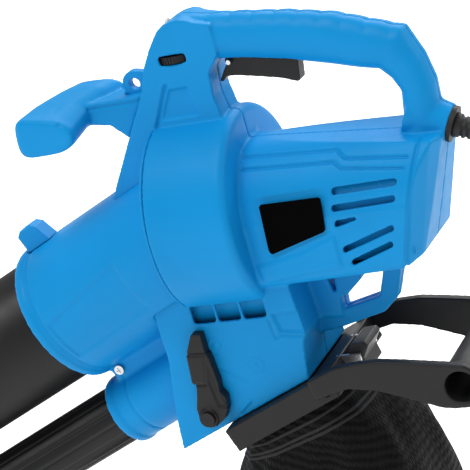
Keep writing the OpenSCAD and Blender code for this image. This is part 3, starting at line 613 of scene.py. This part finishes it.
suction = rounded_pipe(146, TUBE_END, *SUCTION_RADII, [(497, 503, 2.4)])
mesh = lathe("suction", suction, fan, down_tube)
new_piece("suction_pipe_upper", mesh, soft_black, "machine", ["suction_tube_upper"])
blow = rounded_pipe(158, TUBE_END, *BLOW_RADII, [(512, 518, 1.9)])
mesh = lathe("blow", blow, blow_start, down_tube, 168, 14, 1.1, fluted_rows(blow, BLOW_RADII[0]))
new_piece("blow_pipe_upper", mesh, soft_black, "machine", ["blow_tube_upper"])
new_piece("suction_pipe_lower", moulded_mesh("suction_tube_lower", 1.3, 3), soft_black,
          "machine", ["suction_tube_lower"])
new_piece("blow_pipe_lower", moulded_mesh("blow_tube_lower", 1.1, 3), soft_black,
          "machine", ["blow_tube_lower"])


# ---- Bag ----

# Sections of the open bag in the row frame, in millimetres: centre X and Z, tilt, half length, half width
BAG_SECTIONS = [(-16.5, -338, 38, 56, 56), (-4, -366, 30, 78, 70), (6, -404, 20, 99, 86),
                (14, -452, 10, 113, 97), (20, -520, 3, 119, 103), (24, -600, 0, 117, 103),
                (26, -670, 0, 106, 94), (26, -722, 0, 82, 72), (26, -746, 0, 44, 38)]
BAG_AROUND = 220
BAG_STEPS = 18
# Power of the cosine and sine of a rounded rectangle's outline
BAG_CORNER = 0.66
CLOTH = 1.2
# Flat size of the bag's cloth before it is sewn: greatest girth, and length from mouth to floor centre
BAG_FLAT = (0.74, 0.49)


def spline(values, t):
    """Catmull-Rom curve through the values at t, which counts from 0 at the first of them."""
    index = min(int(t), len(values) - 2)
    part = t - index
    last = len(values) - 1
    ends = [values[max(index - 1, 0)], values[index], values[index + 1], values[min(index + 2, last)]]
    a, b, c, d = (np.array(value, float) for value in ends)
    return 0.5 * (2 * b + (c - a) * part + (2 * a - 5 * b + 4 * c - d) * part ** 2
                  + (3 * b - a - 3 * c + d) * part ** 3)


def bag_point(t, angle, less=0.0):
    """A point of the bag's skin: t runs down the sections, angle runs round it."""
    x, z, tilt, length, width = spline(BAG_SECTIONS, t)
    tilt = math.radians(tilt)
    full = min(1, t * 0.8) * min(1, max(0, (len(BAG_SECTIONS) - 1 - t)) * 0.6)
    folds = (2.4 * math.sin(5 * angle + 1.3 * t) + 1.6 * math.sin(11 * angle - 2.1 * t)
             + 1.3 * math.sin(2.6 * t + 3 * angle) + 0.8 * math.sin(17 * angle + 3.7 * t))
    inward = less + full * (4.4 + folds) * 0.8
    along = (length - inward) * math.copysign(abs(math.cos(angle)) ** BAG_CORNER, math.cos(angle))
    wide = (width - inward) * math.copysign(abs(math.sin(angle)) ** BAG_CORNER, math.sin(angle))
    return Vector((x + along * math.cos(tilt), wide, z + along * math.sin(tilt))) * MM


def make_bag():
    """The bag's outer skin with a closed floor, and its cloth layout in metres round and up."""
    levels = [step / BAG_STEPS for step in range((len(BAG_SECTIONS) - 1) * BAG_STEPS + 1)]
    points = [bag_point(t, math.tau * i / BAG_AROUND) for t in levels for i in range(BAG_AROUND)]
    points.append(sum(points[-BAG_AROUND:], Vector()) / BAG_AROUND)
    faces = [(k * BAG_AROUND + i, k * BAG_AROUND + (i + 1) % BAG_AROUND,
              (k + 1) * BAG_AROUND + (i + 1) % BAG_AROUND, (k + 1) * BAG_AROUND + i)
             for k in range(len(levels) - 1) for i in range(BAG_AROUND)]
    last = (len(levels) - 1) * BAG_AROUND
    faces += [(last + i, last + (i + 1) % BAG_AROUND, len(points) - 1) for i in range(BAG_AROUND)]
    mesh = mesh_from("bag", points, faces)
    layout = mesh.uv_layers.new(name="cloth")
    for face in mesh.polygons:
        for loop in face.loop_indices:
            vertex = mesh.loops[loop].vertex_index
            ring, around = divmod(vertex, BAG_AROUND)
            if face.index % BAG_AROUND == BAG_AROUND - 1 and around == 0:
                around = BAG_AROUND
            layout.data[loop].uv = (around / BAG_AROUND * BAG_FLAT[0], -mesh.vertices[vertex].co.z)
    return mesh


bag_skin = make_bag()
bag_mesh = with_modifiers(bag_skin, [("SOLIDIFY", {"thickness": CLOTH * MM, "offset": -1.0})])
bag = new_piece("bag_cloth", bag_mesh, knit, "bag", ["bag"])


def cord_curve(name, points, radius, material, body, replaced=(), cyclic=False):
    """A round cord along the points."""
    data = bpy.data.curves.new(name, "CURVE")
    data.dimensions = "3D"
    data.bevel_depth = radius
    data.bevel_resolution = 6
    data.use_fill_caps = True
    line = data.splines.new("POLY")
    line.points.add(len(points) - 1)
    for target, point in zip(line.points, points):
        target.co = (*point, 1)
    line.use_cyclic_u = cyclic
    data.materials.append(material)
    return new_piece(name, data, None, body, replaced)


# Welts sewn round the bag's collar
PIPING = 0.0016
for number, level in enumerate((0.3, 0.55, 0.66)):
    line = [bag_point(level, math.tau * i / BAG_AROUND, -0.4) for i in range(BAG_AROUND)]
    cord_curve(f"collar_welt_{number}", line, PIPING, tape, "bag", cyclic=True)

# ---- Mains lead ----

# The route of the lead in millimetres, from the strain relief to the plug
ROUTE = [(146, -69), (156, -71), (167, -73), (178, -76), (189, -81), (199, -88), (208, -97), (215, -108),
         (220, -120), (223, -134), (225, -150), (226, -170), (226, -190), (226, -210), (226, -230),
         (226, -250), (226, -270), (226, -290), (226, -310), (226, -330), (226, -348)]
LEAD_D = 0.008
route = [Vector((x * MM, 0, z * MM)) for x, z in ROUTE]
lead = cord_curve("mains_lead", route, LEAD_D / 2, rubber, "machine", ["cord"])

# The gland's middle on the cord boss, how far its outer face stands out, and the direction it faces
GLAND = (217, 47)
GLAND_OUT = 6
GLAND_ANGLE = math.radians(115)
RELIEF_LONG = 42
RELIEF_RADIUS = 10.5
relief_start = at(GLAND[0] + GLAND_OUT * math.sin(GLAND_ANGLE), 0,
                  GLAND[1] + GLAND_OUT * math.cos(GLAND_ANGLE))
relief_axis = route[0] - relief_start
relief = [(0, 4.4), (0, 10.0), (1, RELIEF_RADIUS)]
for rib in range(7):
    along = 5 + rib * 5
    slim = RELIEF_RADIUS - 5 * along / RELIEF_LONG
    relief += [(along, slim), (along + 1, slim - 1.6), (along + 2.4, slim - 1.6), (along + 3.4, slim - 0.4)]
relief += [(RELIEF_LONG - 0.8, 5.5), (RELIEF_LONG, 4.8), (RELIEF_LONG, 4.4)]
new_piece("ribbed_relief", lathe("relief", relief, relief_start, relief_axis, 64), rubber,
          "machine", ["strain_relief"])

plug_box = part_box("plug_body")
plug_top = Vector((route[-1].x, 0, plug_box[1].z))
plug = [(0, 4.2), (0, 5.4), (2, 6.0)]
for rib in range(4):
    along, wider = rib * 4, rib * 1.4
    plug += [(3 + along, 6.6 + wider), (4.5 + along, 5.6 + wider), (6 + along, 6.8 + wider)]
plug += [(20, 13.2), (23, 14), (26, 14.2), (41, 16.6), (43.4, 16.4), (44, 15.4), (44, 2)]
plug += [(36, 1.4), (6, 1.4)]
plug_piece = new_piece("plug_grip", lathe("plug", plug, plug_top, Vector((0, 0, -1)), 72), rubber,
                       "machine", ["plug_body"])

# ---- Materials of the CAD nodes that show as they are ----

CARRIED = {
    steel: ("tube_screws", "wheel_axle", "latch_spring", "housing_screws", "front_bearing", "rear_bearing",
            "rotor_shaft", "impeller_nut", "trigger_pin", "latch_pin", "plug_pins"),
    laminate: ("stator", "armature"),
    aluminium: ("impeller",),
    copper: ("field_coils", "commutator"),
    brass: ("brush_holders",),
    carbon: ("carbon_brushes",),
    black: ("speed_dial", "cooling_fan", "motor_bracket", "selector_shaft", "selector_flap"),
    phenolic: ("switch_body", "rear_bearing_bridge"),
    board_green: ("dial_board",),
    rubber: ("cord_gland", "cord_clamp", "motor_lead"),
    tape: ("bag_zip",),
}
for material, nodes in CARRIED.items():
    for node in nodes:
        mesh = frame["nodes"][node].data
        mesh.materials.clear()
        mesh.materials.append(material)

# ---- Floor, lights and background ----

FLOOR_HALF = 20
floor_z = min(cad_box[0].z, -0.5)
floor_points = [(FLOOR_HALF * x, FLOOR_HALF * y, floor_z) for x, y in ((-1, -1), (1, -1), (1, 1), (-1, 1))]
floor = bpy.data.objects.new("floor", mesh_from("floor", floor_points, [(0, 1, 2, 3)]))
bpy.context.collection.objects.link(floor)
floor_nodes = Nodes("floor_paper", (0.9, 0.9, 0.9), 0.7)
floor_nodes.color_between(floor_nodes.noise(3, 2), (0.89, 0.89, 0.89), (0.91, 0.91, 0.91))
floor_nodes.shader.inputs["Emission Color"].default_value = (1, 1, 1, 1)
floor_nodes.shader.inputs["Emission Strength"].default_value = 0.55
floor.data.materials.append(floor_nodes.material)

world = bpy.data.worlds.new("studio")
bpy.context.scene.world = world
world.use_nodes = True
world.node_tree.nodes["Background"].inputs["Color"].default_value = (1, 1, 1, 1)
world.node_tree.nodes["Background"].inputs["Strength"].default_value = 0.42


def softbox(name, place, aim, size, power):
    """A rectangular area light that points at aim."""
    data = bpy.data.lights.new(name, "AREA")
    data.shape = "RECTANGLE"
    data.size, data.size_y = size
    data.energy = power
    lamp = bpy.data.objects.new(name, data)
    lamp.location = place
    lamp.rotation_mode = "QUATERNION"
    lamp.rotation_quaternion = (Vector(aim) - Vector(place)).to_track_quat("-Z", "Y")
    bpy.context.collection.objects.link(lamp)


softbox("key", (-1.0, -1.0, 2.0), (-0.05, 0, -0.15), (1.3, 1.3), 36)
softbox("fill", (-0.4, -2.2, -0.4), (-0.1, 0, -0.2), (1.6, 1.0), 2.5)
softbox("rim", (1.6, 0.6, 1.2), (0.05, 0, -0.1), (1.0, 1.4), 12)
softbox("sweep", (0, 4.5, 3.0), (0, 3.6, floor_z), (6, 3), 260)
bpy.context.scene.view_settings.view_transform = "Standard"
